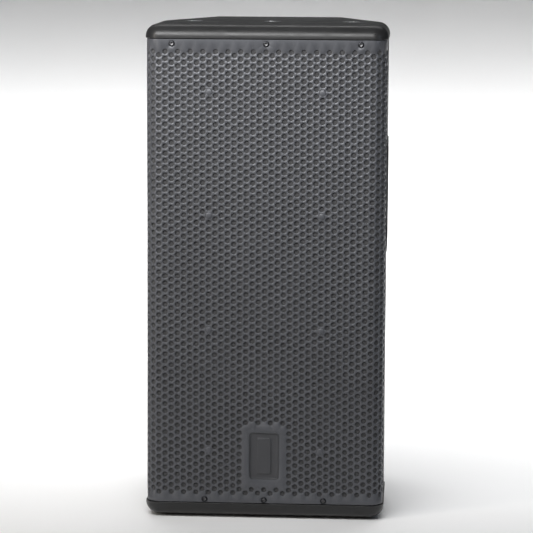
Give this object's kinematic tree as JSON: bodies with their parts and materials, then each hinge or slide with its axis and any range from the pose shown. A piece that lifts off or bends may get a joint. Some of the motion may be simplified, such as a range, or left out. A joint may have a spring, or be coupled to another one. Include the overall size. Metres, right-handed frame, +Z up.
{
  "type": "pa speaker cabinet",
  "caption": "Tall two-way powered loudspeaker cabinet with a perforated steel front, rounded end caps, side handles, fly points, a pole socket and a rear amplifier panel.",
  "frame": {"origin": "middle of the footprint on the floor, under the feet", "axes": "+Z up along the height, -Y out of the grille, +X to the right seen from the front"},
  "size_m": [0.334, 0.35, 0.689],
  "materials": {
    "shell_plastic": "fine leather-grain moulded plastic, black",
    "cap_plastic": "satin moulded plastic, black, with a faint sheen",
    "grille_paint": "fine satin powder coat, dark grey",
    "badge_paint": "satin paint, dark grey",
    "baffle_board": "birch plywood painted matt black",
    "black_steel": "black oxide steel with a worn recess",
    "foam": "open-cell acoustic foam, charcoal",
    "rubber": "matt black rubber",
    "socket_plastic": "glass-filled nylon, matt black",
    "zinc_steel": "zinc-plated steel",
    "wadding": "polyester wadding, off-white",
    "basket_paint": "black powder coat on pressed steel",
    "cone_paper": "pressed paper pulp, black",
    "surround_cloth": "doped cloth, dark grey",
    "spider_cloth": "resin-treated cloth, amber",
    "copper": "enamelled copper wire",
    "ferrite": "dark ferrite, matt",
    "horn_plastic": "smooth satin moulded plastic, black",
    "titanium": "thin pressed titanium foil",
    "panel_paint": "fine-textured black powder coat",
    "heatsink_alloy": "black anodised extrusion",
    "board_laminate": "green glass-epoxy laminate",
    "capacitor_sleeve": "shrink sleeve, dark blue",
    "connector_plastic": "black connector plastic",
    "knob_plastic": "soft-touch black plastic",
    "button_plastic": "grey plastic",
    "light_lens": "tinted lens",
    "wire_sleeve": "black wire insulation"
  },
  "bodies": {
    "cabinet": {"cabinet_shell": "shell_plastic", "front_baffle": "baffle_board", "baffle_gasket": "rubber", "baffle_screws": "black_steel", "top_cap": "cap_plastic", "bottom_cap": "cap_plastic", "cap_screws": "black_steel", "grille": "grille_paint", "grille_foam": "foam", "grille_screws": "black_steel", "foam_rivets": "grille_paint", "badge_plate": "badge_paint", "rubber_feet": "rubber", "underside_screws": "black_steel", "handle_left": "socket_plastic", "handle_right": "socket_plastic", "handle_screws": "black_steel", "pole_socket": "socket_plastic", "fly_points": "zinc_steel", "rigging_plate": "zinc_steel", "damping_pads": "wadding", "woofer_frame": "basket_paint", "woofer_gasket": "rubber", "woofer_surround": "surround_cloth", "woofer_spider": "spider_cloth", "woofer_top_plate": "zinc_steel", "woofer_magnet": "ferrite", "woofer_back_plate": "zinc_steel", "woofer_terminals": "connector_plastic", "woofer_screws": "black_steel", "horn": "horn_plastic", "horn_screws": "black_steel", "driver_body": "ferrite", "driver_phase_plug": "horn_plastic", "driver_cover": "horn_plastic", "port_tubes": "horn_plastic", "amp_panel": "panel_paint", "amp_screws": "black_steel", "heatsink": "heatsink_alloy", "circuit_board": "board_laminate", "transformer": "copper", "capacitors": "capacitor_sleeve", "input_jacks": "connector_plastic", "link_output": "connector_plastic", "level_controls": "zinc_steel", "mode_switch": "connector_plastic", "power_switch": "connector_plastic", "mains_inlet": "connector_plastic", "indicator_lights": "light_lens", "speaker_leads": "wire_sleeve"},
    "woofer_diaphragm": {"woofer_cone": "cone_paper", "woofer_dust_cap": "cone_paper", "woofer_voice_coil": "copper"},
    "driver_diaphragm": {"driver_diaphragm": "titanium"},
    "level_knob_left": {"level_knob_left": "knob_plastic"},
    "level_knob_right": {"level_knob_right": "knob_plastic"},
    "mode_button": {"mode_button": "button_plastic"},
    "power_rocker": {"power_rocker": "connector_plastic"},
    "latch_left": {"latch_left": "button_plastic"},
    "latch_right": {"latch_right": "button_plastic"}
  },
  "joints": [
    {"name": "woofer_travel", "type": "slide", "parent": "cabinet", "child": "woofer_diaphragm", "axis": [0, -1, 0], "range_m": [-0.006, 0.006], "stiffness_N_per_m": 5000},
    {"name": "driver_travel", "type": "slide", "parent": "cabinet", "child": "driver_diaphragm", "axis": [0, -1, 0], "range_m": [-0.0003, 0.0003], "stiffness_N_per_m": 1500},
    {"name": "left_level_turn", "type": "hinge", "parent": "cabinet", "child": "level_knob_left", "pos_m": [-0.036, 0.1495, 0.357], "axis": [0, 1, 0], "range_deg": [-150, 150]},
    {"name": "right_level_turn", "type": "hinge", "parent": "cabinet", "child": "level_knob_right", "pos_m": [0.036, 0.1495, 0.357], "axis": [0, 1, 0], "range_deg": [-150, 150]},
    {"name": "mode_press", "type": "slide", "parent": "cabinet", "child": "mode_button", "axis": [0, -1, 0], "range_m": [0, 0.002], "stiffness_N_per_m": 400},
    {"name": "power_rock", "type": "hinge", "parent": "cabinet", "child": "power_rocker", "pos_m": [0.036, 0.1495, 0.224], "axis": [1, 0, 0], "range_deg": [-18, 0]},
    {"name": "left_latch_press", "type": "slide", "parent": "cabinet", "child": "latch_left", "axis": [0, -1, 0], "range_m": [0, 0.0015], "stiffness_N_per_m": 400},
    {"name": "right_latch_press", "type": "slide", "parent": "cabinet", "child": "latch_right", "axis": [0, -1, 0], "range_m": [0, 0.0015], "stiffness_N_per_m": 400}
  ]
}
